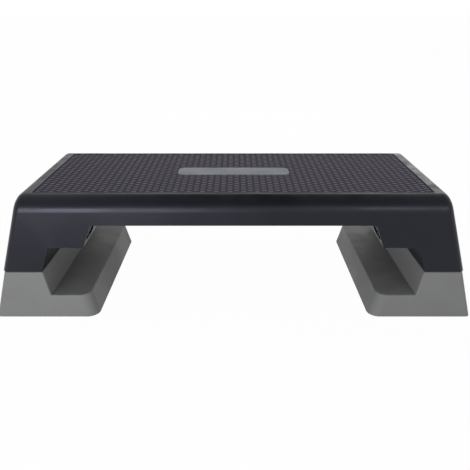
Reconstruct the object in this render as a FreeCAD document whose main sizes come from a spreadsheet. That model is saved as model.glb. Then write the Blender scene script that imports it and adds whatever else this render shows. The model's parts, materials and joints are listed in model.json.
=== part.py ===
import FreeCAD, Part
import Sketcher
import os
import re

# Aerobic step platform: a hollow moulded deck with a rubber mat, standing on two reversible moulded risers.
# Millimetres. +Z is up, X runs along the length, and the origin is on the floor under the middle of the deck.
# The right-hand end (+X) is drawn, and the left-hand end is its mirror image.

# Driving dimensions
SIZES = {
    # Whole step, with the risers under the deck
    "base_half_length": 474.4,      # middle of the step to the outer foot of a riser
    "base_half_depth": 180.0,       # middle of the step to the front foot of a riser
    "riser_height": 100.0,          # floor to the top of a riser
    "ledge_height": 50.0,           # floor to the low ledge of a riser
    "deck_height": 150.0,           # deck on its own, feet to the top of the mat
    "overrun": 5.0,                 # how far a cut runs past the face it opens
    "pick_tolerance": 0.01,         # how near an edge lies to the place that picks it out
    # Outside of a riser
    "riser_width": 203.3,           # along the length, at the foot
    "riser_end_lean": 28.8,         # how far the outer end leans in over its height
    "riser_inner_lean": 12.5,       # how far the inner side leans out up to the ledge
    "riser_front_lean": 5.0,        # how far the front and rear lean in over their height
    "post_width": 76.1,             # top of the high part of the riser
    "flank_lean": 10.0,             # how far the side of the high part leans out
    "riser_inner_corner": 22.0,     # front corner of the inner side
    "riser_rear_corner": 6.0,       # rear corner of the inner side
    "riser_outer_corner": 9.0,
    "riser_edge_round": 2.5,
    # Inside of a riser
    "riser_wall": 4.0,
    "riser_rib": 3.0,
    "riser_rib_recess": 4.0,        # ribs end this far above the rim
    # Locating lugs on top of a riser
    "lug_length": 55.0,
    "lug_width": 40.0,
    "lug_height": 13.0,
    "lug_centre": 45.0,             # middle of the riser to the middle of a lug
    "lug_play": 1.5,                # between a lug and the leg wall beside it
    "lug_corner": 4.0,
    "lug_chamfer": 1.5,
    # Outside of the deck
    "leg_overhang": 3.1,            # how far a leg stands out beyond the top of its riser
    "deck_end_lean": 46.0,
    "deck_front_lean": 7.5,
    "top_round": 30.0,              # front and rear edges of the top
    "deck_corner": 13.5,            # edges all round the leaning ends
    "leg_width": 77.7,              # outer leg, at its rim
    "notch_lean": 18.5,
    "step_width": 67.5,             # inner step of the leg, at its rim
    "leg_lean": 17.5,
    "apron_depth": 54.0,            # top of the deck to the lower edge of the front apron
    "leg_edge_round": 3.0,
    # Inside of the deck
    "deck_wall": 4.0,
    "deck_rib": 3.0,
    "deck_rib_depth": 38.0,
    "rib_pitch_length": 89.0,
    "web_play": 4.0,                # between a lug and the webs above it
    # Slots in the inner wall of each leg
    "slot_width": 52.0,
    "slot_inset": 5.0,              # front of the deck to the near side of the slot
    "slot_floor": 11.0,             # rim of the inner step to the bottom of the slot
    "slot_height": 56.0,
    "slot_corner": 14.0,
    # Mat and plaque
    "mat_thickness": 3.0,
    "mat_gap": 0.75,                # groove round the mat
    "mat_corner": 4.0,
    "end_border": 13.2,             # flat plastic beyond the mat at the ends
    "front_border": 0.5,            # flat plastic beyond the mat at the front and rear
    "plaque_length": 235.0,
    "plaque_depth": 50.0,
    "plaque_corner": 14.0,
    "plaque_edge": 0.8,
    "plaque_gap": 0.4,
    # Rubber feet
    "foot_radius": 12.0,
    "foot_thickness": 4.0,
    "foot_edge": 1.0,
    "stem_radius": 4.0,
    "stem_length": 12.0,
    "stem_tip": 1.0,
    "stem_play": 0.05,
    "bore_spare": 1.0,              # bore beyond the end of the stem
    "boss_wall": 2.0,               # boss round the pad of the foot
    "foot_inset": 26.0,             # edge of the riser's foot to the middle of a rubber foot
    "riser_foot_proud": 2.0,        # rubber below the rim of the riser
    "deck_foot_proud": 1.0,         # rubber below the rim of the deck's legs
}

# Sizes worked out from the driving ones
DERIVED = {
    "step_height": "riser_height + deck_height",
    "riser_base_inner": "base_half_length - riser_width",
    "ledge_inner": "riser_base_inner + riser_inner_lean",
    "inner_slope": "riser_inner_lean / (ledge_height - riser_foot_proud)",
    "seat_half_length": "base_half_length - riser_end_lean",
    "seat_half_depth": "base_half_depth - riser_front_lean",
    "flank_top": "seat_half_length - post_width",
    "flank_low": "flank_top - flank_lean",
    "riser_end_slope": "riser_end_lean / (riser_height - riser_foot_proud)",
    "riser_front_slope": "riser_front_lean / (riser_height - riser_foot_proud)",
    "leg_rim": "riser_height + deck_foot_proud",
    "step_rim": "leg_rim + riser_height - ledge_height",
    "apron_rim": "step_height - apron_depth",
    "deck_half_length": "seat_half_length + leg_overhang",
    "deck_top_half_length": "deck_half_length - deck_end_lean",
    "deck_top_half_depth": "seat_half_depth - deck_front_lean",
    "deck_end_slope": "deck_end_lean / (step_height - leg_rim)",
    "deck_front_slope": "deck_front_lean / (step_height - leg_rim)",
    "notch_low": "deck_half_length - leg_width",
    "notch_high": "notch_low - notch_lean",
    "step_low": "notch_high - step_width",
    "step_high": "step_low - leg_lean",
    "leg_slope": "leg_lean / (apron_rim - step_rim)",
    "ceiling": "step_height - mat_thickness - deck_wall",
    "rib_rim": "ceiling - deck_rib_depth",
    "core_half_length": "deck_top_half_length + deck_end_slope * (step_height - ceiling) - deck_wall",
    "end_round_reach": "deck_corner * (sqrt(1 + deck_end_slope ^ 2) - deck_end_slope)",
    "front_round_reach": "top_round * (sqrt(1 + deck_front_slope ^ 2) - deck_front_slope)",
    "flat_half_length": "deck_top_half_length - end_round_reach",
    "flat_half_depth": "deck_top_half_depth - front_round_reach",
    "mat_half_length": "flat_half_length - end_border - mat_gap",
    "mat_half_depth": "flat_half_depth - front_border - mat_gap",
    "mat_floor": "step_height - mat_thickness",
    "lug_inner": "notch_low + deck_wall + lug_play",
    "boss_radius": "foot_radius + boss_wall",
    "bore_radius": "stem_radius + stem_play",
    "foot_row": "base_half_depth - foot_inset",
    "foot_inner_line": "riser_base_inner + foot_inset",
    "foot_outer_line": "base_half_length - foot_inset",
    "foot_leg_line": "deck_half_length - leg_width / 2",
    "rib_pitch_depth": "foot_row / 2",
}

doc = FreeCAD.newDocument("AerobicStep")
sheet = doc.addObject("Spreadsheet::Sheet", "Sizes")


def fill_sheet():
    """Write every driving and worked-out size to its own cell, under its own name."""
    rows = [(name, str(size)) for name, size in SIZES.items()]
    rows += [(name, "=" + formula) for name, formula in DERIVED.items()]
    for row, (name, content) in enumerate(rows, start=1):
        sheet.set("A%d" % row, name)
        sheet.setAlias("B%d" % row, name)
        sheet.set("B%d" % row, content)
    doc.recompute()


def linked(formula):
    """Point the size names in a formula at the sheet."""
    def to_cell(word):
        name = word.group()
        return "Sizes." + name if name in SIZES or name in DERIVED else name
    return re.sub(r"[a-z_]+", to_cell, formula)


def value(formula):
    """The present value of a formula in size names."""
    return float(sheet.evalExpression(linked(formula)))


def bind(thing, formulas):
    """Bind properties of an object to formulas in size names."""
    for name, formula in formulas.items():
        thing.setExpression(name, linked(formula))


# Sketches and features

def new_body(name):
    return doc.addObject("PartDesign::Body", name)


def new_sketch(body, name, plane, height="0"):
    """A sketch on one of the body's own origin planes, raised along the plane's normal."""
    sketch = body.newObject("Sketcher::SketchObject", name)
    sketch.AttachmentSupport = [(next(p for p in body.Origin.OriginFeatures if p.Role == plane), "")]
    sketch.MapMode = "FlatFace"
    bind(sketch, {"AttachmentOffset.Base.z": height})
    return sketch


def pin_point(sketch, geometry, end, x, y):
    """Hold one point of a sketch at formulas measured from the sketch's origin."""
    for axis, formula in (("DistanceX", x), ("DistanceY", y)):
        rule = Sketcher.Constraint(axis, -1, 1, geometry, end, value(formula))
        bind(sketch, {"Constraints[%d]" % sketch.addConstraint(rule): formula})


def draw_outline(sketch, corners):
    """Add a closed outline of straight lines through corners, each a pair of formulas."""
    first = sketch.GeometryCount
    points = [FreeCAD.Vector(value(x), value(y), 0) for x, y in corners]
    for start, end in zip(points, points[1:] + points[:1]):
        sketch.addGeometry(Part.LineSegment(start, end), False)
    count = len(corners)
    for index, (x, y) in enumerate(corners):
        following = first + (index + 1) % count
        sketch.addConstraint(Sketcher.Constraint("Coincident", first + index, 2, following, 1))
        pin_point(sketch, first + index, 1, x, y)


def draw_rounded_box(sketch, x_low, x_high, y_low, y_high, radius):
    """Add a rectangle with rounded corners: four arcs, joined by four tangent lines."""
    first = sketch.GeometryCount
    inwards = "(%s) - (%s)"
    outwards = "(%s) + (%s)"
    corners = [(inwards % (x_high, radius), inwards % (y_high, radius)),
               (outwards % (x_low, radius), inwards % (y_high, radius)),
               (outwards % (x_low, radius), outwards % (y_low, radius)),
               (inwards % (x_high, radius), outwards % (y_low, radius))]
    quarter = FreeCAD.Units.parseQuantity("90 deg").getValueAs("rad").Value
    arcs = []
    for index, (x, y) in enumerate(corners):
        centre = FreeCAD.Vector(value(x), value(y), 0)
        circle = Part.Circle(centre, FreeCAD.Vector(0, 0, 1), value(radius))
        arcs.append(Part.ArcOfCircle(circle, index * quarter, (index + 1) * quarter))
        sketch.addGeometry(arcs[-1], False)
    for arc, following in zip(arcs, arcs[1:] + arcs[:1]):
        sketch.addGeometry(Part.LineSegment(arc.EndPoint, following.StartPoint), False)
    count = len(corners)
    for index, (x, y) in enumerate(corners):
        arc = first + index
        line = arc + count
        following = first + (index + 1) % count
        sketch.addConstraint(Sketcher.Constraint("Tangent", arc, 2, line, 1))
        sketch.addConstraint(Sketcher.Constraint("Tangent", line, 2, following, 1))
        pin_point(sketch, arc, 3, x, y)
        rule = Sketcher.Constraint("Radius", arc, value(radius))
        bind(sketch, {"Constraints[%d]" % sketch.addConstraint(rule): radius})


def pad(body, sketch, length, both_ways=False):
    feature = body.newObject("PartDesign::Pad", sketch.Name + "_pad")
    feature.Profile = sketch
    feature.Midplane = both_ways
    bind(feature, {"Length": length})
    doc.recompute()
    return feature


def pocket(body, sketch, depth, both_ways=False):
    """Cut a sketch out of the body, and stop if the cut removes nothing."""
    before = body.Tip.Shape.Volume
    feature = body.newObject("PartDesign::Pocket", sketch.Name + "_cut")
    feature.Profile = sketch
    feature.Midplane = both_ways
    bind(feature, {"Length": depth})
    doc.recompute()
    if feature.Shape.Volume >= before:
        raise RuntimeError(feature.Name + " cut nothing")
    return feature


def dress(body, kind, radius_name, radius, wanted):
    """Fillet or chamfer those edges of the body that a test picks out."""
    base = body.Tip
    edges = ["Edge%d" % (n + 1) for n, edge in enumerate(base.Shape.Edges) if wanted(edge)]
    feature = body.newObject("PartDesign::" + kind, "%s_%s" % (body.Name, kind.lower()))
    feature.Base = (base, edges)
    bind(feature, {radius_name: radius})
    doc.recompute()
    if "Invalid" in feature.State or not feature.Shape.isValid():
        raise RuntimeError("%s failed on %d edges" % (feature.Name, len(edges)))
    return feature


def near(first, second):
    return abs(first - second) < value("pick_tolerance")


def at_height(edge, height):
    """Whether an edge lies wholly at one height."""
    return all(near(vertex.Z, value(height)) for vertex in edge.Vertexes)


def along_depth(edge, x, height):
    """Whether an edge runs from front to rear at one place of the length and one height."""
    return at_height(edge, height) and all(near(vertex.X, x) for vertex in edge.Vertexes)


def at_corner(edge, x, row=0):
    """Whether an edge climbs a corner from a foot at one place of the length: in the front row (-1), the
    rear row (1) or either row (0)."""
    foot, head = sorted(edge.Vertexes, key=lambda vertex: vertex.Z)
    return head.Z - foot.Z > value("overrun") and near(foot.X, x) and foot.Y * row >= 0


def leaning_block(body, outline, half_depth, slope, foot, head):
    """Pad an outline of length and height right through, then lean its front and rear in towards the top.

    The front and rear stand half_depth from the middle at the foot and lean in by the slope up to the head.
    """
    side = new_sketch(body, body.Name + "_outline", "XZ_Plane")
    draw_outline(side, outline)
    pad(body, side, "2 * (base_half_depth + overrun)", both_ways=True)
    lean = new_sketch(body, body.Name + "_lean", "YZ_Plane")
    low = "(%s) + (%s) * overrun" % (half_depth, slope)
    high = "(%s) - (%s) * ((%s) - (%s) + overrun)" % (half_depth, slope, head, foot)
    far = "base_half_depth + 2 * overrun"
    for sign in ("1", "-1"):
        wedge = [(low, "%s - overrun" % foot), (far, "%s - overrun" % foot),
                 (far, "%s + overrun" % head), (high, "%s + overrun" % head)]
        draw_outline(lean, [("%s * (%s)" % (sign, y), z) for y, z in wedge])
    pocket(body, lean, "2 * (base_half_length + overrun)", both_ways=True)


# Plain solids for ribs, bosses and bores

def plate(name, x, y, z, length, depth, height):
    """A box from its lowest corner and its three sizes."""
    box = doc.addObject("Part::Box", name)
    bind(box, {"Placement.Base.x": x, "Placement.Base.y": y, "Placement.Base.z": z,
               "Length": length, "Width": depth, "Height": height})
    return box


def post(name, x, y, z, radius, height):
    """An upright cylinder from the middle of its lower end."""
    cylinder = doc.addObject("Part::Cylinder", name)
    bind(cylinder, {"Placement.Base.x": x, "Placement.Base.y": y, "Placement.Base.z": z,
                    "Radius": radius, "Height": height})
    return cylinder


def fuse(name, pieces):
    joined = doc.addObject("Part::MultiFuse", name)
    joined.Shapes = pieces
    return joined


def cut(name, base, tool):
    result = doc.addObject("Part::Cut", name)
    result.Base = base
    result.Tool = tool
    return result


SIDES = {"right": "1", "left": "-1"}
ROWS = {"front": "-1", "rear": "1"}


# Deck: outside form with the stepped legs and the recess for the mat

def round_deck(body, half_length, foot, head, thinner="0"):
    """Round the front and rear edges at the head of the deck or its core, then its leaning ends all round.

    The ends stand half_length from the middle at the foot, and their edges at the foot stay sharp.
    """
    def on_end(edge, sign):
        """Whether an edge lies on the leaning face of one end."""
        slope = value("deck_end_slope")
        at_foot = value(half_length)
        bottom = value(foot)
        return all(near(sign * vertex.X, at_foot - slope * (vertex.Z - bottom)) for vertex in edge.Vertexes)

    dress(body, "Fillet", "Radius", "top_round - " + thinner,
          lambda edge: at_height(edge, head) and near(edge.Vertexes[0].Y, edge.Vertexes[-1].Y))
    dress(body, "Fillet", "Radius", "deck_corner - " + thinner,
          lambda edge: (on_end(edge, -1) or on_end(edge, 1)) and not at_height(edge, foot))


def make_deck_outside():
    body = new_body("deck_outside")
    half = [("deck_top_half_length", "step_height"), ("deck_half_length", "leg_rim"),
            ("notch_low", "leg_rim"), ("notch_high", "step_rim"),
            ("step_low", "step_rim"), ("step_high", "apron_rim")]
    leaning_block(body, half + [("-" + x, z) for x, z in reversed(half)],
                  "seat_half_depth", "deck_front_slope", "leg_rim", "step_height")
    round_deck(body, "deck_half_length", "leg_rim", "step_height")
    turns = [("notch_high", "step_rim"), ("step_low", "step_rim"), ("step_high", "apron_rim")]
    dress(body, "Fillet", "Radius", "leg_edge_round",
          lambda edge: any(along_depth(edge, sign * value(x), z) for x, z in turns for sign in (-1, 1)))

    recess = new_sketch(body, "mat_recess", "XY_Plane", "step_height")
    draw_rounded_box(recess, "-mat_half_length - mat_gap", "mat_half_length + mat_gap",
                     "-mat_half_depth - mat_gap", "mat_half_depth + mat_gap", "mat_corner + mat_gap")
    pocket(body, recess, "mat_thickness")
    return body


def make_deck_core():
    """The space inside the deck before its ribs and walls are left standing."""
    body = new_body("deck_core")
    foot = "leg_rim - overrun"
    foot_half_length = "deck_half_length + deck_end_slope * overrun - deck_wall"
    half = [("core_half_length", "ceiling"), (foot_half_length, foot)]
    half_depth = "seat_half_depth + deck_front_slope * overrun - deck_wall"
    leaning_block(body, half + [("-(%s)" % x, z) for x, z in reversed(half)],
                  half_depth, "deck_front_slope", foot, "ceiling")
    round_deck(body, foot_half_length, foot, "ceiling", "deck_wall")
    return body


def make_leg_wall(side, sign):
    """The leaning inner wall of one leg, with an upright slot near the front and one near the rear."""
    body = new_body(side + "_leg_wall")
    profile = new_sketch(body, side + "_leg_wall_profile", "XZ_Plane")
    top = "(step_low - leg_slope * (ceiling + overrun - step_rim))"
    outline = [("step_low", "step_rim"), ("step_low + deck_wall", "step_rim"),
               (top + " + deck_wall", "ceiling + overrun"), (top, "ceiling + overrun")]
    draw_outline(profile, [("%s * (%s)" % (sign, x), z) for x, z in outline])
    pad(body, profile, "2 * base_half_depth", both_ways=True)
    slots = new_sketch(body, side + "_leg_slots", "YZ_Plane")
    outer = "(seat_half_depth - slot_inset)"
    floor = "step_rim + slot_floor"
    for low, high in ((outer + " - slot_width", outer), ("-" + outer, "slot_width - " + outer)):
        draw_rounded_box(slots, low, high, floor, floor + " + slot_height", "slot_corner")
    pocket(body, slots, "2 * base_half_length", both_ways=True)
    return body


def make_deck_ribs():
    """Everything that is left standing inside the deck: ribs, leg walls, webs and foot bosses."""
    pieces = []
    full_length = "2 * base_half_length"
    full_depth = "2 * base_half_depth"
    above = "ceiling + overrun"
    for step in range(-2, 3):
        y = "%d * rib_pitch_depth - deck_rib / 2" % step
        pieces.append(plate("long_rib_%d" % (step + 2), "-base_half_length", y, "rib_rim",
                            full_length, "deck_rib", above + " - rib_rim"))
        x = "%d * rib_pitch_length - deck_rib / 2" % step
        pieces.append(plate("cross_rib_%d" % (step + 2), x, "-base_half_depth", "rib_rim",
                            "deck_rib", full_depth, above + " - rib_rim"))
    for side, sign in SIDES.items():
        pieces.append(make_leg_wall(side, sign))
        middle = "%s * (step_low + notch_low) / 2 - deck_rib / 2" % sign
        pieces.append(plate(side + "_leg_rib", middle, "-base_half_depth", "rib_rim",
                            "deck_rib", full_depth, above + " - rib_rim"))
        wall_x = {"right": "notch_low", "left": "-notch_low - deck_wall"}[side]
        pieces.append(plate(side + "_post_wall", wall_x, "-base_half_depth", "leg_rim - overrun",
                            "deck_wall", full_depth, above + " - leg_rim + overrun"))
        for step in range(-2, 3):
            y = "%d * rib_pitch_depth - deck_rib / 2" % step
            outer_x = {"right": "notch_low", "left": "-base_half_length"}[side]
            outer_rim = "leg_rim + lug_height + web_play"
            pieces.append(plate("%s_outer_web_%d" % (side, step + 2), outer_x, y, outer_rim,
                                "base_half_length - notch_low", "deck_rib", "rib_rim - (%s)" % outer_rim))
            inner_x = {"right": "step_high", "left": "-notch_low"}[side]
            inner_rim = "step_rim + lug_height + web_play"
            pieces.append(plate("%s_inner_web_%d" % (side, step + 2), inner_x, y, inner_rim,
                                "notch_low - step_high", "deck_rib", "rib_rim - (%s)" % inner_rim))
        for row, end in ROWS.items():
            seat = "riser_height + foot_thickness"
            pieces.append(post("%s_%s_deck_boss" % (row, side), sign + " * foot_leg_line",
                               end + " * foot_row", seat, "boss_radius", above + " - (%s)" % seat))
    return fuse("deck_ribs", pieces)


def make_deck():
    cells = cut("deck_cells", make_deck_core(), make_deck_ribs())
    bores = [post("%s_%s_deck_bore" % (row, side), sign + " * foot_leg_line", end + " * foot_row",
                  "riser_height", "bore_radius", "foot_thickness + stem_length + bore_spare")
             for side, sign in SIDES.items() for row, end in ROWS.items()]
    hollow = cut("deck_hollow", make_deck_outside(), cells)
    return cut("deck_shell", hollow, fuse("deck_bores", bores))


# Mat and plaque

def make_mat():
    body = new_body("top_mat")
    outline = new_sketch(body, "mat_outline", "XY_Plane", "mat_floor")
    draw_rounded_box(outline, "-mat_half_length", "mat_half_length",
                     "-mat_half_depth", "mat_half_depth", "mat_corner")
    pad(body, outline, "mat_thickness")
    window = new_sketch(body, "plaque_window", "XY_Plane", "step_height")
    length = "plaque_length / 2 + plaque_gap"
    depth = "plaque_depth / 2 + plaque_gap"
    draw_rounded_box(window, "-(%s)" % length, length, "-(%s)" % depth, depth, "plaque_corner + plaque_gap")
    pocket(body, window, "mat_thickness + overrun")
    return body


def make_plaque():
    body = new_body("plaque")
    outline = new_sketch(body, "plaque_outline", "XY_Plane", "mat_floor")
    draw_rounded_box(outline, "-plaque_length / 2", "plaque_length / 2",
                     "-plaque_depth / 2", "plaque_depth / 2", "plaque_corner")
    pad(body, outline, "mat_thickness")
    dress(body, "Chamfer", "Size", "plaque_edge", lambda edge: at_height(edge, "step_height"))
    return body


# Risers: the right-hand one is drawn and mirrored

def round_riser_corners(body, inner_foot, outer_foot, thinner="0"):
    """Round the upright corners of the riser or its core. The inner ones differ between front and rear."""
    corners = (("riser_inner_corner", inner_foot, -1), ("riser_rear_corner", inner_foot, 1),
               ("riser_outer_corner", outer_foot, 0))
    for radius, place, row in corners:
        dress(body, "Fillet", "Radius", "%s - %s" % (radius, thinner),
              lambda edge: at_corner(edge, value(place), row))


def make_riser_outside():
    body = new_body("riser_outside")
    leaning_block(body, [("riser_base_inner", "riser_foot_proud"), ("base_half_length", "riser_foot_proud"),
                         ("seat_half_length", "riser_height"), ("flank_top", "riser_height"),
                         ("flank_low", "ledge_height"), ("ledge_inner", "ledge_height")],
                  "base_half_depth", "riser_front_slope", "riser_foot_proud", "riser_height")
    round_riser_corners(body, "riser_base_inner", "base_half_length")
    flank_foot = value("flank_low")
    dress(body, "Fillet", "Radius", "riser_edge_round",
          lambda edge: at_height(edge, "riser_height") or at_corner(edge, flank_foot)
          or (at_height(edge, "ledge_height") and not along_depth(edge, flank_foot, "ledge_height")))

    lugs = new_sketch(body, "lug_outline", "XY_Plane", "riser_height")
    for end in ROWS.values():
        centre = end + " * lug_centre"
        draw_rounded_box(lugs, "lug_inner", "lug_inner + lug_width", centre + " - lug_length / 2",
                         centre + " + lug_length / 2", "lug_corner")
    pad(body, lugs, "lug_height")
    dress(body, "Chamfer", "Size", "lug_chamfer", lambda edge: at_height(edge, "riser_height + lug_height"))
    return body


def make_riser_core():
    """The space inside the riser before its ribs are left standing."""
    body = new_body("riser_core")
    foot = "riser_foot_proud - overrun"
    inner_foot = "riser_base_inner - inner_slope * overrun + riser_wall"
    outer_foot = "base_half_length + riser_end_slope * overrun - riser_wall"
    roof = "riser_height - riser_wall"
    under = "ledge_height - riser_wall"
    half_depth = "base_half_depth + riser_front_slope * overrun - riser_wall"
    leaning_block(body, [(inner_foot, foot), (outer_foot, foot),
                         ("seat_half_length + riser_end_slope * riser_wall - riser_wall", roof),
                         ("flank_top + riser_wall", roof), ("flank_low + riser_wall", under),
                         ("ledge_inner - inner_slope * riser_wall + riser_wall", under)],
                  half_depth, "riser_front_slope", foot, roof)
    round_riser_corners(body, inner_foot, outer_foot, "riser_wall")
    hollows = [plate("%s_lug_hollow" % row, "lug_inner + riser_wall",
                     end + " * lug_centre - lug_length / 2 + riser_wall", roof + " - overrun",
                     "lug_width - 2 * riser_wall", "lug_length - 2 * riser_wall", "lug_height + overrun")
               for row, end in ROWS.items()]
    return fuse("riser_space", [body] + hollows)


def riser_foot_places():
    """Name, X and Y of the six feet of the right-hand riser."""
    rows = dict(ROWS, middle="0")
    lines = {"inner": "foot_inner_line", "outer": "foot_outer_line"}
    return [("%s_%s" % (row, line), x, end + " * foot_row") for line, x in lines.items()
            for row, end in rows.items()]


def make_riser_ribs():
    """Everything that is left standing inside the riser: ribs and foot bosses."""
    rim = "riser_foot_proud + riser_rib_recess"
    height = "riser_height - (%s)" % rim
    pieces = [plate("riser_cross_rib_%d" % (step + 2), "riser_base_inner",
                    "%d * rib_pitch_depth - riser_rib / 2" % step, rim, "riser_width", "riser_rib", height)
              for step in range(-2, 3)]
    middle = "riser_base_inner + riser_width / 2 - riser_rib / 2"
    pieces.append(plate("riser_long_rib", middle, "-base_half_depth", rim,
                        "riser_rib", "2 * base_half_depth", height))
    for name, x, y in riser_foot_places():
        pieces.append(post(name + "_boss", x, y, "foot_thickness",
                           "boss_radius", "riser_height - foot_thickness"))
    return fuse("riser_ribs", pieces)


def make_right_riser():
    cells = cut("riser_cells", make_riser_core(), make_riser_ribs())
    hollow = cut("riser_hollow", make_riser_outside(), cells)
    bores = [post(name + "_bore", x, y, "0", "bore_radius", "foot_thickness + stem_length + bore_spare")
             for name, x, y in riser_foot_places()]
    return cut("right_riser", hollow, fuse("riser_bores", bores))


def make_left_riser(right_riser):
    mirrored = doc.addObject("Part::Mirroring", "left_riser")
    mirrored.Source = right_riser
    mirrored.Normal = FreeCAD.Vector(1, 0, 0)
    return mirrored


# Rubber feet: a pad with a stem that is pushed into its boss

def make_foot(name, x, y, z):
    body = new_body(name)
    profile = new_sketch(body, name + "_profile", "XZ_Plane")
    top = "foot_thickness + stem_length"
    draw_outline(profile, [("0", "0"), ("foot_radius - foot_edge", "0"), ("foot_radius", "foot_edge"),
                           ("foot_radius", "foot_thickness"), ("stem_radius", "foot_thickness"),
                           ("stem_radius", top + " - stem_tip"), ("stem_radius - stem_tip", top), ("0", top)])
    turned = body.newObject("PartDesign::Revolution", name + "_turned")
    turned.Profile = profile
    turned.ReferenceAxis = (profile, ["V_Axis"])
    bind(body, {"Placement.Base.x": x, "Placement.Base.y": y, "Placement.Base.z": z})
    return body


def make_feet():
    feet = []
    for side, sign in SIDES.items():
        for row, end in ROWS.items():
            feet.append(make_foot("deck_foot_%s_%s" % (row, side), sign + " * foot_leg_line",
                                  end + " * foot_row", "riser_height"))
        for name, x, y in riser_foot_places():
            feet.append(make_foot("%s_riser_foot_%s" % (side, name), "%s * %s" % (sign, x), y, "0"))
    return feet


def main():
    fill_sheet()
    right_riser = make_right_riser()
    pieces = [make_deck(), make_mat(), make_plaque(), make_left_riser(right_riser), right_riser] + make_feet()
    doc.recompute()

    for thing in doc.Objects:
        if "Invalid" in thing.State or "Error" in thing.State:
            raise RuntimeError("failed: " + thing.Label)
    for piece in pieces:
        if piece.Shape.isNull() or not piece.Shape.isValid() or len(piece.Shape.Solids) != 1:
            raise RuntimeError("not one valid solid: " + piece.Label)

    os.makedirs("parts", exist_ok=True)
    for piece in pieces:
        piece.Shape.exportStep("parts/%s.step" % piece.Label)
        box = piece.Shape.optimalBoundingBox(True, False)
        print("%-30s %.1f x %.1f x %.1f mm, from z = %.1f" % (
            piece.Label, box.XLength, box.YLength, box.ZLength, box.ZMin))


main()
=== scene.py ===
# %% [markdown]
# # Dressing an aerobic step platform
# The object is a dark moulded deck with a rubber mat let into its top. It stands on two grey
# stepped risers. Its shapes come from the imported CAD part, which is loaded first and never moved.
# Blender adds what CAD leaves out: the studs of the mat, the skin of each moulding, and a studio to
# look at them in. Everything is in metres, with X along the length, Y to the rear and Z up from the
# floor.

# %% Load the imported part
import json
import math
import bpy
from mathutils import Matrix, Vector


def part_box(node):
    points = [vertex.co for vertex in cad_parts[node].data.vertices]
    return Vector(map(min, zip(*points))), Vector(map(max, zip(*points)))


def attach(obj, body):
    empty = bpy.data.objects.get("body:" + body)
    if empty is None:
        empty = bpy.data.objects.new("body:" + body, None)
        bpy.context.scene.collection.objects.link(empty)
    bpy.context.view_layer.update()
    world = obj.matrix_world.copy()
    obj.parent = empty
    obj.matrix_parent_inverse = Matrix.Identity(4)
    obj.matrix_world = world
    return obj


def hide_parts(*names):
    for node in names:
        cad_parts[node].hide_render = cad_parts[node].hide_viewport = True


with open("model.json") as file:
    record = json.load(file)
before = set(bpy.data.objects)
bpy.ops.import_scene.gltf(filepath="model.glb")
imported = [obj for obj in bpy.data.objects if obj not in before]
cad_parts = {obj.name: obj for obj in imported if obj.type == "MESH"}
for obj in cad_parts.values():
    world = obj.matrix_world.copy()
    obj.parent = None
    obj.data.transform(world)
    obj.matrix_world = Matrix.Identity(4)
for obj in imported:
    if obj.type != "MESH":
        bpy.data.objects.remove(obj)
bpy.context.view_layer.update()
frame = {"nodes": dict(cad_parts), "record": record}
nodes = frame["nodes"]

# %% [markdown]
# ## Camera
# The picture was taken from a little above, square on to the long side. A camera could be aimed by
# eye, but here its place came from matching the outline of the step. A camera looks along its own
# -Z, so a turn of 90 degrees about X points it at the horizon, and anything less tips it down.

# %% Place the camera
PITCH_DOWN = math.radians(24.355)
camera_data = bpy.data.cameras.new("front_camera")
camera_data.lens = 38.4
camera_data.sensor_width = 36.0
camera = bpy.data.objects.new("front_camera", camera_data)
camera.location = (0.0030, -1.029, 0.566)
camera.rotation_euler = (math.pi / 2 - PITCH_DOWN, 0.0, 0.0)
bpy.context.scene.collection.objects.link(camera)
bpy.context.scene.camera = camera
bpy.context.scene.view_settings.view_transform = "Standard"
print("camera", [round(c, 3) for c in camera.location], "lens", camera_data.lens, "mm")

# %% [markdown]
# ## Node helpers
# Materials, the world and Geometry Nodes are all trees of nodes joined by links. A few short
# helpers keep the trees readable: they add a node and fill its sockets with numbers or links, do
# sums, change ranges and blend colours.

# %% Helpers for node trees
def fill(tree, socket, given):
    """Link a socket to another one, or type a plain value into it."""
    if isinstance(given, bpy.types.NodeSocket):
        tree.links.new(given, socket)
    else:
        socket.default_value = given


def add(tree, kind, settings=None, **sockets):
    """Add a node. An underscore in a socket's name stands for a space."""
    node = tree.nodes.new(kind)
    for name, setting in (settings or {}).items():
        setattr(node, name, setting)
    for name, given in sockets.items():
        fill(tree, node.inputs[name.replace("_", " ")], given)
    return node


def sum_of(tree, operation, *terms):
    """One Math node, with each term a number or a link."""
    node = tree.nodes.new("ShaderNodeMath")
    node.operation = operation
    for socket, given in zip(node.inputs, terms):
        fill(tree, socket, given)
    return node.outputs[0]


def remap(tree, given, low, high, new_low, new_high):
    """Turn the range low to high into another one, with soft ends."""
    node = add(tree, "ShaderNodeMapRange", {"interpolation_type": "SMOOTHSTEP"}, Value=given)
    for name, number in (("From Min", low), ("From Max", high), ("To Min", new_low), ("To Max", new_high)):
        node.inputs[name].default_value = number
    return node.outputs["Result"]


def blend_colours(tree, share, first, second):
    """The first colour where the share is 0, the second where it is 1."""
    node = tree.nodes.new("ShaderNodeMix")
    node.data_type = "RGBA"
    colour_inputs = [socket for socket in node.inputs if socket.type == "RGBA"]
    fill(tree, node.inputs[0], share)
    fill(tree, colour_inputs[0], first)
    fill(tree, colour_inputs[1], second)
    return [socket for socket in node.outputs if socket.type == "RGBA"][0]


print("helpers ready")

# %% [markdown]
# ## World and floor
# A product studio is white at the horizon and dark overhead, where the ceiling is far away. The
# dark ceiling is what draws the black band along the rounded front edge, so the world fades from
# white to near black with height, most of all over the middle. The camera itself never sees the
# dark part. Light Path tells the camera and mirror-like rays from the rest, so the background can
# be white without flooding the object with light. The floor does the same, and keeps a little of
# its own shading so that the shadow stays.

# %% Build the world
SKY_LIGHT = 0.82

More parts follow.
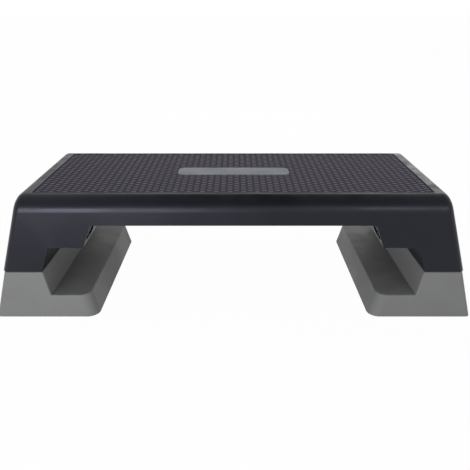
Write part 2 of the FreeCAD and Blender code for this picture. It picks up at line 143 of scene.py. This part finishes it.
world = bpy.data.worlds.new("studio_world")
bpy.context.scene.world = world
world.use_nodes = True
sky = world.node_tree
sky.nodes.clear()
way = add(sky, "ShaderNodeTexCoord").outputs["Generated"]
towards = add(sky, "ShaderNodeSeparateXYZ", Vector=way).outputs
overhead = remap(sky, towards["Z"], 0.31, 0.76, 0.0, 1.0)
off_middle = sum_of(sky, "ABSOLUTE", sum_of(sky, "SUBTRACT", towards["X"], 0.06))
middle = remap(sky, off_middle, 0.0, 0.50, 1.0, 0.0)
ray = add(sky, "ShaderNodeLightPath").outputs
unseen = sum_of(sky, "SUBTRACT", 1.0, ray["Is Camera Ray"])
ceiling_share = sum_of(sky, "MULTIPLY", sum_of(sky, "MULTIPLY", overhead, middle), unseen)
sky_colour = blend_colours(sky, ceiling_share, (1.0, 1.0, 1.0, 1.0), (0.04, 0.042, 0.050, 1.0))
mirror_rays = sum_of(sky, "MAXIMUM", ray["Is Glossy Ray"], ray["Is Transmission Ray"])
seen = sum_of(sky, "MAXIMUM", ray["Is Camera Ray"], mirror_rays)
strength = remap(sky, seen, 0.0, 1.0, SKY_LIGHT, 1.0)
background = add(sky, "ShaderNodeBackground", Color=sky_colour, Strength=strength)
add(sky, "ShaderNodeOutputWorld", Surface=background.outputs[0])
print("world of", len(sky.nodes), "nodes, sky light", SKY_LIGHT)

# %% Lay the floor
REACH = 40.0
floor_mesh = bpy.data.meshes.new("studio_floor")
floor_corners = [(-REACH, -REACH, 0), (REACH, -REACH, 0), (REACH, REACH, 0), (-REACH, REACH, 0)]
floor_mesh.from_pydata(floor_corners, [], [(0, 1, 2, 3)])
floor = bpy.data.objects.new("studio_floor", floor_mesh)
bpy.context.scene.collection.objects.link(floor)
print("floor", 2 * REACH, "m wide")

# %% [markdown]
# The floor's paint has two sides. From above it is white to the camera and matt to the light. From
# below it is clear, so that the ribs and feet under the step can be looked at.

# %% Paint the floor
floor_paint = bpy.data.materials.new("floor_white")
floor_paint.use_nodes = True
tree = floor_paint.node_tree
tree.nodes.clear()
matt = add(tree, "ShaderNodeBsdfDiffuse", Color=(0.86, 0.86, 0.86, 1.0))
white = add(tree, "ShaderNodeEmission", Color=(1.0, 1.0, 1.0, 1.0), Strength=1.0)
ray = add(tree, "ShaderNodeLightPath").outputs
mirror_rays = sum_of(tree, "MAXIMUM", ray["Is Glossy Ray"], ray["Is Transmission Ray"])
seen = sum_of(tree, "MAXIMUM", ray["Is Camera Ray"], mirror_rays)
shown_white = sum_of(tree, "MULTIPLY", seen, 0.975)
mixed = tree.nodes.new("ShaderNodeMixShader")
tree.links.new(shown_white, mixed.inputs[0])
tree.links.new(matt.outputs[0], mixed.inputs[1])
tree.links.new(white.outputs[0], mixed.inputs[2])
from_below = add(tree, "ShaderNodeNewGeometry").outputs["Backfacing"]
see_through = tree.nodes.new("ShaderNodeBsdfTransparent")
one_sided = tree.nodes.new("ShaderNodeMixShader")
tree.links.new(from_below, one_sided.inputs[0])
tree.links.new(mixed.outputs[0], one_sided.inputs[1])
tree.links.new(see_through.outputs[0], one_sided.inputs[2])
add(tree, "ShaderNodeOutputMaterial", Surface=one_sided.outputs[0])
floor_mesh.materials.append(floor_paint)
print("floor paint of", len(tree.nodes), "nodes")

# %% [markdown]
# ## Lamps
# Four soft boxes do the rest. The one on the left is the strongest, which is why the left riser is
# the brighter one. A small box on the right and a long strip in front carry the highlight along the
# rounded edge. A box behind glances off the flat ends of the deck and reaches in under it.

# %% Hang four soft boxes
def soft_box(name, place, target, width, height_of_box, power):
    """A rectangular lamp that is aimed at a point. The camera doesn't see it."""
    lamp = bpy.data.lights.new(name, "AREA")
    lamp.shape = "RECTANGLE"
    lamp.size = width
    lamp.size_y = height_of_box
    lamp.energy = power
    box = bpy.data.objects.new(name, lamp)
    box.location = place
    box.rotation_euler = (Vector(target) - Vector(place)).to_track_quat("-Z", "Y").to_euler()
    box.visible_camera = False
    bpy.context.scene.collection.objects.link(box)
    return box


soft_box("left_box", (-0.80, -1.70, 0.28), (-0.25, -0.17, 0.22), 1.1, 0.60, 18.0)
soft_box("right_box", (0.90, -1.70, 0.65), (0.30, -0.17, 0.22), 0.6, 0.40, 4.0)
soft_box("front_strip", (0.0, -1.80, 0.33), (0.0, -0.17, 0.22), 2.4, 0.30, 0.8)
soft_box("rear_box", (0.35, 2.30, 1.05), (0.0, 0.0, 0.25), 3.0, 0.60, 12.0)

# %% [markdown]
# ## Shared skins
# Three effects turn up on more than one material, so each is a node group that is built once.
# Moulded plastic has a fine spark-eroded grain and a slow waviness where the wall sank as it
# cooled. Its edges get rubbed pale by handling. Dust settles on what faces up, and shoes scuff what
# lies level. A group puts out only masks and heights, and each material decides what to do with
# them.

# %% Helpers for shared groups
def new_group(name, inputs, outputs):
    """An empty shader group with number sockets, and both of its ends."""
    group = bpy.data.node_groups.new(name, "ShaderNodeTree")
    for title, default in inputs:
        socket = group.interface.new_socket(title, in_out="INPUT", socket_type="NodeSocketFloat")
        socket.default_value = default
    for title in outputs:
        group.interface.new_socket(title, in_out="OUTPUT", socket_type="NodeSocketFloat")
    return group, group.nodes.new("NodeGroupInput").outputs, group.nodes.new("NodeGroupOutput").inputs


def noise(tree, size, detail, stretch=None):
    """A noise on Object coordinates, with lumps of about the given size in metres."""
    place = add(tree, "ShaderNodeTexCoord").outputs["Object"]
    if stretch:
        place = add(tree, "ShaderNodeMapping", Vector=place, Scale=stretch).outputs[0]
    scale = sum_of(tree, "DIVIDE", 1.0, size)
    return add(tree, "ShaderNodeTexNoise", Vector=place, Scale=scale, Detail=detail).outputs[0]


print("group helpers ready")

# %% Build the moulded grain
grain_sizes = [("Grain Size", 0.0016), ("Wave Size", 0.07), ("Patch Size", 0.11)]
grain_group, given, made = new_group("moulded_grain", grain_sizes, ["Grain", "Wave", "Patch"])
grain_group.links.new(noise(grain_group, given["Grain Size"], 2.0), made["Grain"])
grain_group.links.new(noise(grain_group, given["Wave Size"], 1.0, (1.0, 1.0, 0.35)), made["Wave"])
patches = noise(grain_group, given["Patch Size"], 4.0)
grain_group.links.new(remap(grain_group, patches, 0.30, 0.70, 0.0, 1.0), made["Patch"])
print(grain_group.name, "of", len(grain_group.nodes), "nodes")

# %% Build the rubbed edges
rub_group, given, made = new_group("rubbed_edges", [("Reach", 0.002), ("Breakup Size", 0.012)], ["Rub"])
rounded = add(rub_group, "ShaderNodeBevel", {"samples": 6}, Radius=given["Reach"]).outputs["Normal"]
true_normal = add(rub_group, "ShaderNodeNewGeometry").outputs["Normal"]
facing = add(rub_group, "ShaderNodeVectorMath", {"operation": "DOT_PRODUCT"})
rub_group.links.new(rounded, facing.inputs[0])
rub_group.links.new(true_normal, facing.inputs[1])
edge = remap(rub_group, facing.outputs["Value"], 0.995, 0.86, 0.0, 1.0)
broken = remap(rub_group, noise(rub_group, given["Breakup Size"], 3.0), 0.36, 0.66, 0.25, 1.0)
rub_group.links.new(sum_of(rub_group, "MULTIPLY", edge, broken), made["Rub"])
print(rub_group.name, "of", len(rub_group.nodes), "nodes")

# %% Build the settled dust
dust_group, given, made = new_group("settled_dust", [("Patch Size", 0.03)], ["Dust", "Scuff"])
true_normal = add(dust_group, "ShaderNodeNewGeometry").outputs["Normal"]
upward = add(dust_group, "ShaderNodeSeparateXYZ", Vector=true_normal)
level = remap(dust_group, upward.outputs["Z"], 0.55, 1.0, 0.0, 1.0)
specks = remap(dust_group, noise(dust_group, given["Patch Size"], 6.0), 0.42, 0.70, 0.0, 1.0)
dust_group.links.new(sum_of(dust_group, "MULTIPLY", level, specks), made["Dust"])
dust_group.links.new(remap(dust_group, upward.outputs["Z"], 0.975, 0.998, 0.0, 1.0), made["Scuff"])
print(dust_group.name, "of", len(dust_group.nodes), "nodes")

# %% [markdown]
# ## Finishes
# Every finish below is a Principled BSDF with the shared masks wired into its colour, roughness and
# normal. What is the same all over, such as the specular level, is typed straight into its socket.
# The deck is a satin black with a cold tint, the risers a paler and rougher grey, the feet a matt
# black rubber.

# %% A maker for moulded finishes
def use_group(tree, group, **sizes):
    """Place a shared group in a material, with sizes of its own."""
    node = tree.nodes.new("ShaderNodeGroup")
    node.node_tree = group
    for name, size in sizes.items():
        node.inputs[name.replace("_", " ")].default_value = size
    return node.outputs


def bump(tree, mask, depth, normal=None):
    """Normals that are tilted as if the mask stood up by the given depth."""
    node = add(tree, "ShaderNodeBump", Height=mask, Distance=depth, Strength=1.0)
    if normal:
        tree.links.new(normal, node.inputs["Normal"])
    return node.outputs["Normal"]


def new_finish(name, specular, tint=(1.0, 1.0, 1.0, 1.0)):
    """A material with a Principled BSDF whose gloss is the same all over."""
    material = bpy.data.materials.new(name)
    material.use_nodes = True
    tree = material.node_tree
    shader = tree.nodes["Principled BSDF"].inputs
    shader["Specular IOR Level"].default_value = specular
    shader["Specular Tint"].default_value = tint
    return material, tree, shader


def moulded_finish(name, colours, sizes, depths, rough, specular, dustiness, scuffing=0.0,
                   tint=(1.0, 1.0, 1.0, 1.0)):
    """A plastic or rubber with the shared skins: colours by what they cover, sizes and depths by skin."""
    material, tree, shader = new_finish(name, specular, tint)
    skin = use_group(tree, grain_group, Grain_Size=sizes["grain"], Wave_Size=sizes["wave"])
    rub = use_group(tree, rub_group, Reach=sizes["edge"])["Rub"]
    settled = use_group(tree, dust_group)
    dust = settled["Dust"]
    body = blend_colours(tree, skin["Patch"], colours["body"], colours["patch"])
    rubbed = blend_colours(tree, sum_of(tree, "MULTIPLY", rub, 0.55), body, colours["rub"])
    dusted = blend_colours(tree, sum_of(tree, "MULTIPLY", dust, dustiness), rubbed, colours["dust"])
    tree.links.new(dusted, shader["Base Color"])
    patchy = remap(tree, skin["Patch"], 0.0, 1.0, rough - 0.05, rough + 0.05)
    dulled = sum_of(tree, "ADD", patchy, sum_of(tree, "MULTIPLY", dust, 0.12))
    scuffed = sum_of(tree, "MULTIPLY", settled["Scuff"], scuffing)
    tree.links.new(sum_of(tree, "ADD", dulled, scuffed), shader["Roughness"])
    wavy = bump(tree, skin["Wave"], depths["wave"])
    tree.links.new(bump(tree, skin["Grain"], depths["grain"], wavy), shader["Normal"])
    return material


print("finish maker ready")

# %% Mix the deck, riser and foot finishes
deck_plastic = moulded_finish(
    "deck_plastic",
    {"body": (0.0045, 0.0047, 0.0064, 1), "patch": (0.0037, 0.0039, 0.0054, 1),
     "rub": (0.040, 0.041, 0.047, 1), "dust": (0.045, 0.044, 0.049, 1)},
    {"grain": 0.0016, "wave": 0.085, "edge": 0.0022}, {"grain": 0.00005, "wave": 0.0006},
    rough=0.33, specular=0.30, dustiness=0.08, scuffing=0.04, tint=(0.78, 0.80, 1.0, 1.0))
riser_plastic = moulded_finish(
    "riser_plastic",
    {"body": (0.149, 0.151, 0.151, 1), "patch": (0.140, 0.142, 0.142, 1),
     "rub": (0.27, 0.27, 0.27, 1), "dust": (0.25, 0.245, 0.25, 1)},
    {"grain": 0.0019, "wave": 0.12, "edge": 0.0026}, {"grain": 0.00010, "wave": 0.0006},
    rough=0.55, specular=0.25, dustiness=0.22)
foot_rubber = moulded_finish(
    "foot_rubber",
    {"body": (0.020, 0.020, 0.021, 1), "patch": (0.016, 0.016, 0.017, 1),
     "rub": (0.060, 0.060, 0.060, 1), "dust": (0.085, 0.083, 0.085, 1)},
    {"grain": 0.0011, "wave": 0.03, "edge": 0.0010}, {"grain": 0.00008, "wave": 0.0001},
    rough=0.80, specular=0.35, dustiness=0.22)
print("finishes:", deck_plastic.name, riser_plastic.name, foot_rubber.name)

# %% [markdown]
# ## The bare plate
# A pale plate lies in a window of the mat. It is a thin rolled sheet, so its grain runs along its
# length: a noise that is stretched along X gives the faint drawn lines, in the colour and in the
# bumps, while the roughness changes by patches.

# %% Finish of the plate
plate_finish, tree, shader = new_finish("plaque_plate", 0.12)
drawn = noise(tree, 0.004, 3.0, (0.03, 1.0, 1.0))
patch = use_group(tree, grain_group, Patch_Size=0.05)["Patch"]
sheet_colour = blend_colours(tree, drawn, (0.164, 0.176, 0.210, 1), (0.184, 0.197, 0.232, 1))
tree.links.new(sheet_colour, shader["Base Color"])
tree.links.new(remap(tree, patch, 0.0, 1.0, 0.46, 0.58), shader["Roughness"])
tree.links.new(bump(tree, drawn, 0.00004), shader["Normal"])
print("plate finish ready")

# %% [markdown]
# ## The mat's rubber
# Shoes polish the tops of the studs, so roughness changes with height. The colour changes with
# height too, and that is painted light: painted shade darkens the valleys between the studs and a
# painted sheen lightens their crowns. The height is read from the Object coordinates, which on
# these pieces are the same as the part's own frame.

# %% Finish of the mat
mat_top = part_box("top_mat")[1].z
STUD_HEIGHT = 0.0011
mat_rubber, tree, shader = new_finish("mat_rubber", 0.30, (0.90, 0.86, 1.0, 1.0))
place = add(tree, "ShaderNodeTexCoord").outputs["Object"]
mat_height = add(tree, "ShaderNodeSeparateXYZ", Vector=place).outputs["Z"]
# The height mask drives the polish in the roughness, and the painted shade and sheen in the colour.
polish_and_painted_light = remap(tree, mat_height, mat_top - STUD_HEIGHT, mat_top, 0.0, 1.0)
skin = use_group(tree, grain_group, Grain_Size=0.0012, Patch_Size=0.16)
# Painted shade: the dark valley colour stands in for the shade between the studs. Painted sheen: the pale
# crown colour stands in for light on their tops.
valley_painted_shade = blend_colours(tree, skin["Patch"], (0.017, 0.0156, 0.0213, 1), (0.023, 0.0210, 0.0287, 1))
crown = blend_colours(tree, skin["Patch"], (0.138, 0.122, 0.168, 1), (0.114, 0.101, 0.139, 1))
tree.links.new(blend_colours(tree, polish_and_painted_light, valley_painted_shade, crown), shader["Base Color"])
tree.links.new(remap(tree, polish_and_painted_light, 0.0, 1.0, 0.82, 0.58), shader["Roughness"])
tree.links.new(bump(tree, skin["Grain"], 0.00006), shader["Normal"])
print("mat top at", round(mat_top * 1000, 2), "mm, studs", STUD_HEIGHT * 1000, "mm high")

# %% [markdown]
# ## The mat
# The mat is one rubber sheet with columns of low raised studs, every second column moved by half a
# pitch. A thousand studs could be modelled by a loop, but a Geometry Nodes tree says the rule
# itself: as many whole pitches as fit on the sheet, a grid of points with those under the plate
# left out, one stud on each point. The same tree cuts the sheet with its window.

# %% Small helpers for the mat tree
def rounded_outline(tree, length, depth, radius, steps):
    """A closed curve: a rectangle with rounded corners, in the floor plane."""
    corners = add(tree, "GeometryNodeCurvePrimitiveQuadrilateral", Width=length, Height=depth)
    rounded = add(tree, "GeometryNodeFilletCurve", {"mode": "POLY"}, Curve=corners.outputs[0],
                  Radius=radius, Count=steps)
    return rounded.outputs["Curve"]


def join(tree, *shapes):
    """Several shapes as one."""
    node = tree.nodes.new("GeometryNodeJoinGeometry")
    for shape in shapes:
        tree.links.new(shape, node.inputs["Geometry"])
    return node.outputs["Geometry"]


def close_below(tree, flat, raised):
    """Close a raised shape with a face below and weld the two."""
    under = add(tree, "GeometryNodeFlipFaces", Mesh=flat).outputs["Mesh"]
    both = join(tree, raised, under)
    return add(tree, "GeometryNodeMergeByDistance", Geometry=both, Distance=1e-6).outputs[0]


def lift(tree, shape, height):
    """Move a shape straight up."""
    rise = add(tree, "ShaderNodeCombineXYZ", Z=height).outputs[0]
    return add(tree, "GeometryNodeTransform", Geometry=shape, Translation=rise).outputs[0]


print("mat helpers ready")

# %% Name the inputs of the mat tree
mat_low, mat_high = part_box("top_mat")
plate_low, plate_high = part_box("plaque")
PLATE_GAP = 0.0004
MAT_SIZES = {
    "Length": mat_high.x - mat_low.x,
    "Depth": mat_high.y - mat_low.y,
    "Bottom": mat_low.z,
    "Sheet Thickness": mat_high.z - mat_low.z - STUD_HEIGHT,
    "Corner": 0.004,
    "Window Length": plate_high.x - plate_low.x + 2 * PLATE_GAP,
    "Window Depth": plate_high.y - plate_low.y + 2 * PLATE_GAP,
    "Window Corner": 0.0144,
    "Stud Length": 0.0106,
    "Stud Width": 0.0032,
    "Stud Corner": 0.0012,
    "Stud Height": STUD_HEIGHT,
    "Column Pitch": 0.0130,
    "Row Pitch": 0.0108,
    "Border": 0.0015,
}
mat_tree = bpy.data.node_groups.new("studded_mat", "GeometryNodeTree")
for title, size in MAT_SIZES.items():
    mat_tree.interface.new_socket(title, in_out="INPUT", socket_type="NodeSocketFloat").default_value = size
mat_tree.interface.new_socket("Finish", in_out="INPUT", socket_type="NodeSocketMaterial")
mat_tree.interface.new_socket("Mat", in_out="OUTPUT", socket_type="NodeSocketGeometry")
given = mat_tree.nodes.new("NodeGroupInput").outputs
print("mat inputs:", {title: round(size * 1000, 2) for title, size in MAT_SIZES.items()})

# %% Cut the sheet
sheet_edge = rounded_outline(mat_tree, given["Length"], given["Depth"], given["Corner"], 5)
window_edge = rounded_outline(mat_tree, given["Window Length"], given["Window Depth"],
                              given["Window Corner"], 8)
both_edges = join(mat_tree, sheet_edge, window_edge)
flat_sheet = add(mat_tree, "GeometryNodeFillCurve", Curve=both_edges).outputs["Mesh"]
thick_sheet = add(mat_tree, "GeometryNodeExtrudeMesh", Mesh=flat_sheet,
                  Offset_Scale=given["Sheet Thickness"], Individual=False).outputs["Mesh"]
sheet = lift(mat_tree, close_below(mat_tree, flat_sheet, thick_sheet), given["Bottom"])
print("sheet nodes:", len(mat_tree.nodes))

# %% Shape one stud
STUD_SINK = 0.0002
stud_edge = rounded_outline(mat_tree, given["Stud Length"], given["Stud Width"], given["Stud Corner"], 2)
foot = add(mat_tree, "GeometryNodeFillCurve", {"mode": "NGONS"}, Curve=stud_edge).outputs["Mesh"]
shoulder_height = sum_of(mat_tree, "MULTIPLY", given["Stud Height"], 0.62)
shoulder_rise = sum_of(mat_tree, "ADD", shoulder_height, STUD_SINK)
shoulder = add(mat_tree, "GeometryNodeExtrudeMesh", Mesh=foot, Offset_Scale=shoulder_rise)
narrowed = add(mat_tree, "GeometryNodeScaleElements", Geometry=shoulder.outputs["Mesh"],
               Selection=shoulder.outputs["Top"], Scale=0.90).outputs[0]
crown_rise = sum_of(mat_tree, "MULTIPLY", given["Stud Height"], 0.38)
crown = add(mat_tree, "GeometryNodeExtrudeMesh", Mesh=narrowed, Selection=shoulder.outputs["Top"],
            Offset_Scale=crown_rise)
rounded_stud = add(mat_tree, "GeometryNodeScaleElements", Geometry=crown.outputs["Mesh"],
                   Selection=crown.outputs["Top"], Scale=0.78).outputs[0]
stud = close_below(mat_tree, foot, rounded_stud)
print("stud nodes:", len(mat_tree.nodes))

# %% Lay the studs out in shifted columns
def whole_gaps(tree, side, taken, pitch):
    """How many whole pitches fit along one side of the mat, once what is taken up has been left off."""
    return sum_of(tree, "FLOOR", sum_of(tree, "DIVIDE", sum_of(tree, "SUBTRACT", side, taken), pitch))


half_pitch = sum_of(mat_tree, "MULTIPLY", given["Row Pitch"], 0.5)
both_borders = sum_of(mat_tree, "MULTIPLY", given["Border"], 2.0)
taken_across = sum_of(mat_tree, "ADD", given["Stud Length"], both_borders)
straight_columns = sum_of(mat_tree, "ADD", given["Stud Width"], both_borders)
taken_along = sum_of(mat_tree, "ADD", straight_columns, half_pitch)
column_gaps = whole_gaps(mat_tree, given["Length"], taken_across, given["Column Pitch"])
row_gaps = whole_gaps(mat_tree, given["Depth"], taken_along, given["Row Pitch"])
grid_length = sum_of(mat_tree, "MULTIPLY", column_gaps, given["Column Pitch"])
grid_depth = sum_of(mat_tree, "MULTIPLY", row_gaps, given["Row Pitch"])
grid = add(mat_tree, "GeometryNodeMeshGrid", Size_X=grid_length, Size_Y=grid_depth,
           Vertices_X=sum_of(mat_tree, "ADD", column_gaps, 1.1),
           Vertices_Y=sum_of(mat_tree, "ADD", row_gaps, 1.1)).outputs["Mesh"]
position = mat_tree.nodes.new("GeometryNodeInputPosition").outputs[0]
where = add(mat_tree, "ShaderNodeSeparateXYZ", Vector=position).outputs
from_end = sum_of(mat_tree, "ADD", where["X"], sum_of(mat_tree, "MULTIPLY", grid_length, 0.5))
column = sum_of(mat_tree, "ROUND", sum_of(mat_tree, "DIVIDE", from_end, given["Column Pitch"]))
odd_column = sum_of(mat_tree, "SUBTRACT", sum_of(mat_tree, "MODULO", column, 2.0), 0.5)
shift_along = sum_of(mat_tree, "MULTIPLY", odd_column, half_pitch)
shift = add(mat_tree, "ShaderNodeCombineXYZ", Y=shift_along).outputs[0]
shifted = add(mat_tree, "GeometryNodeSetPosition", Geometry=grid, Offset=shift).outputs[0]
print("layout nodes:", len(mat_tree.nodes))

# %% Leave out the studs that would lie on the plate
def clear_of_window(tree, place, window_side, stud_side):
    """How far a stud's near side lies beyond the window, along one axis."""
    half_sides = sum_of(tree, "MULTIPLY", sum_of(tree, "ADD", window_side, stud_side), 0.5)
    return sum_of(tree, "SUBTRACT", sum_of(tree, "ABSOLUTE", place), half_sides)


clear_x = clear_of_window(mat_tree, where["X"], given["Window Length"], given["Stud Length"])
clear_y = clear_of_window(mat_tree, where["Y"], given["Window Depth"], given["Stud Width"])
on_plate = sum_of(mat_tree, "LESS_THAN", sum_of(mat_tree, "MAXIMUM", clear_x, clear_y), 0.0)
kept = add(mat_tree, "GeometryNodeDeleteGeometry", {"domain": "POINT"}, Geometry=shifted,
           Selection=on_plate).outputs[0]
sheet_top = sum_of(mat_tree, "ADD", given["Bottom"], given["Sheet Thickness"])
stud_foot = sum_of(mat_tree, "SUBTRACT", sheet_top, STUD_SINK)
raised = lift(mat_tree, kept, stud_foot)
studs = add(mat_tree, "GeometryNodeInstanceOnPoints", Points=raised, Instance=stud).outputs["Instances"]
sheet_and_studs = join(mat_tree, sheet, studs)
whole_mat = add(mat_tree, "GeometryNodeRealizeInstances", Geometry=sheet_and_studs).outputs[0]
finished = add(mat_tree, "GeometryNodeSetMaterial", Geometry=whole_mat,
               Material=given["Finish"]).outputs[0]
mat_tree.links.new(finished, mat_tree.nodes.new("NodeGroupOutput").inputs["Mat"])
print("whole mat tree:", len(mat_tree.nodes), "nodes")

# %% [markdown]
# A tree does nothing until a modifier runs it. The modifier's inputs are set by each socket's
# identifier, and the evaluated result is then copied to a plain mesh, because instances and
# modifiers do not leave Blender.

# %% Run the tree and keep a plain mesh
def run_tree(name, tree, inputs):
    """Run a Geometry Nodes tree once and keep its result as a plain mesh."""
    piece = bpy.data.objects.new(name, bpy.data.meshes.new(name + "_start"))
    bpy.context.scene.collection.objects.link(piece)
    modifier = piece.modifiers.new(name, "NODES")
    modifier.node_group = tree
    for item in tree.interface.items_tree:
        if item.in_out == "INPUT" and item.name in inputs:
            modifier[item.identifier] = inputs[item.name]
    evaluated = piece.evaluated_get(bpy.context.evaluated_depsgraph_get())
    mesh = bpy.data.meshes.new_from_object(evaluated)
    piece.modifiers.remove(modifier)
    mesh.name = name
    piece.data = mesh
    mesh.calc_loop_triangles()
    return piece


studded_mat = run_tree("studded_mat", mat_tree, {**MAT_SIZES, "Finish": mat_rubber})
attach(studded_mat, "deck")
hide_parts("top_mat")
print("mat:", len(studded_mat.data.loop_triangles), "triangles")

# %% [markdown]
# ## Hand out the finishes
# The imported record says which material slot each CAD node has, so the finishes follow that list and
# no node is forgotten. Only the material in the slot changes. The mesh stays as CAD made it.

# %% Put the finishes on the CAD nodes
FINISHES = {"deck_plastic": deck_plastic, "riser_plastic": riser_plastic, "plaque_plate": plate_finish,
            "foot_rubber": foot_rubber, "mat_rubber": mat_rubber}
for subpart in frame["record"]["subparts"]:
    for slot in nodes[subpart["node"]].material_slots:
        slot.material = FINISHES[subpart["material_slot"]]
